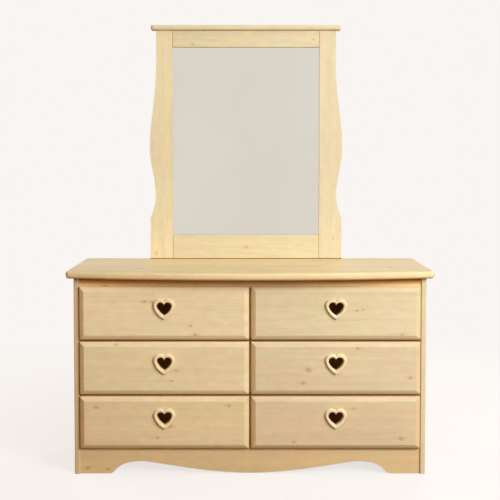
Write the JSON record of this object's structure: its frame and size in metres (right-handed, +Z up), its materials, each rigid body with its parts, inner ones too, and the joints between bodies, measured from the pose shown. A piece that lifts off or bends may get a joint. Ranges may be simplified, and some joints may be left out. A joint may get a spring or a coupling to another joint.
{
  "type": "dresser with mirror",
  "caption": "Low pine double dresser with overlay drawers, heart-shaped finger holes, a bowed slab top, a scalloped apron and a framed mirror standing on the top.",
  "frame": {"origin": "on the floor, under the middle of the whole piece, from the foremost point of the bowed top to the back of the mirror supports", "axes": "+Z up, front of the drawers towards -Y, +X to the right as seen from the front"},
  "size_m": [1.372, 0.4802, 1.7364],
  "materials": {
    "pine_front": "clear satin lacquer over knotty pine",
    "pine_top": "clear satin lacquer over pine",
    "pine_frame": "clear satin lacquer over knotty pine",
    "pine_edge": "clear satin lacquer, rounded and paler",
    "pine_inside": "bare sanded pine",
    "plywood": "bare thin plywood",
    "hardboard": "brown hardboard",
    "silvered": "silvered float glass"
  },
  "bodies": {
    "case": {"top_panel": "pine_top", "side_panel_left": "pine_frame", "side_panel_right": "pine_frame", "back_panel": "plywood", "base_apron": "pine_front", "top_front_rail": "pine_front", "divider_rail_lower": "pine_front", "divider_rail_upper": "pine_front", "center_partition": "pine_inside", "drawer_guide_bottom_left": "pine_inside", "drawer_guide_bottom_right": "pine_inside", "drawer_guide_middle_left": "pine_inside", "drawer_guide_middle_right": "pine_inside", "drawer_guide_top_left": "pine_inside", "drawer_guide_top_right": "pine_inside", "mirror_stile_left": "pine_frame", "mirror_stile_right": "pine_frame", "mirror_top_rail": "pine_frame", "mirror_bottom_rail": "pine_frame", "mirror_cap": "pine_top", "mirror_glass": "silvered", "mirror_backing": "hardboard", "mirror_support_left": "pine_inside", "mirror_support_right": "pine_inside"},
    "drawer_bottom_left": {"drawer_bottom_left_front": "pine_front", "drawer_bottom_left_heart_pull": "pine_edge", "drawer_bottom_left_side_left": "pine_inside", "drawer_bottom_left_side_right": "pine_inside", "drawer_bottom_left_back": "pine_inside", "drawer_bottom_left_bottom": "plywood"},
    "drawer_bottom_right": {"drawer_bottom_right_front": "pine_front", "drawer_bottom_right_heart_pull": "pine_edge", "drawer_bottom_right_side_left": "pine_inside", "drawer_bottom_right_side_right": "pine_inside", "drawer_bottom_right_back": "pine_inside", "drawer_bottom_right_bottom": "plywood"},
    "drawer_middle_left": {"drawer_middle_left_front": "pine_front", "drawer_middle_left_heart_pull": "pine_edge", "drawer_middle_left_side_left": "pine_inside", "drawer_middle_left_side_right": "pine_inside", "drawer_middle_left_back": "pine_inside", "drawer_middle_left_bottom": "plywood"},
    "drawer_middle_right": {"drawer_middle_right_front": "pine_front", "drawer_middle_right_heart_pull": "pine_edge", "drawer_middle_right_side_left": "pine_inside", "drawer_middle_right_side_right": "pine_inside", "drawer_middle_right_back": "pine_inside", "drawer_middle_right_bottom": "plywood"},
    "drawer_top_left": {"drawer_top_left_front": "pine_front", "drawer_top_left_heart_pull": "pine_edge", "drawer_top_left_side_left": "pine_inside", "drawer_top_left_side_right": "pine_inside", "drawer_top_left_back": "pine_inside", "drawer_top_left_bottom": "plywood"},
    "drawer_top_right": {"drawer_top_right_front": "pine_front", "drawer_top_right_heart_pull": "pine_edge", "drawer_top_right_side_left": "pine_inside", "drawer_top_right_side_right": "pine_inside", "drawer_top_right_back": "pine_inside", "drawer_top_right_bottom": "plywood"}
  },
  "joints": [
    {"name": "drawer_bottom_left_slide", "type": "slide", "parent": "case", "child": "drawer_bottom_left", "axis": [0, -1, 0], "range_m": [0, 0.28]},
    {"name": "drawer_bottom_right_slide", "type": "slide", "parent": "case", "child": "drawer_bottom_right", "axis": [0, -1, 0], "range_m": [0, 0.28]},
    {"name": "drawer_middle_left_slide", "type": "slide", "parent": "case", "child": "drawer_middle_left", "axis": [0, -1, 0], "range_m": [0, 0.28]},
    {"name": "drawer_middle_right_slide", "type": "slide", "parent": "case", "child": "drawer_middle_right", "axis": [0, -1, 0], "range_m": [0, 0.28]},
    {"name": "drawer_top_left_slide", "type": "slide", "parent": "case", "child": "drawer_top_left", "axis": [0, -1, 0], "range_m": [0, 0.28]},
    {"name": "drawer_top_right_slide", "type": "slide", "parent": "case", "child": "drawer_top_right", "axis": [0, -1, 0], "range_m": [0, 0.28]}
  ]
}
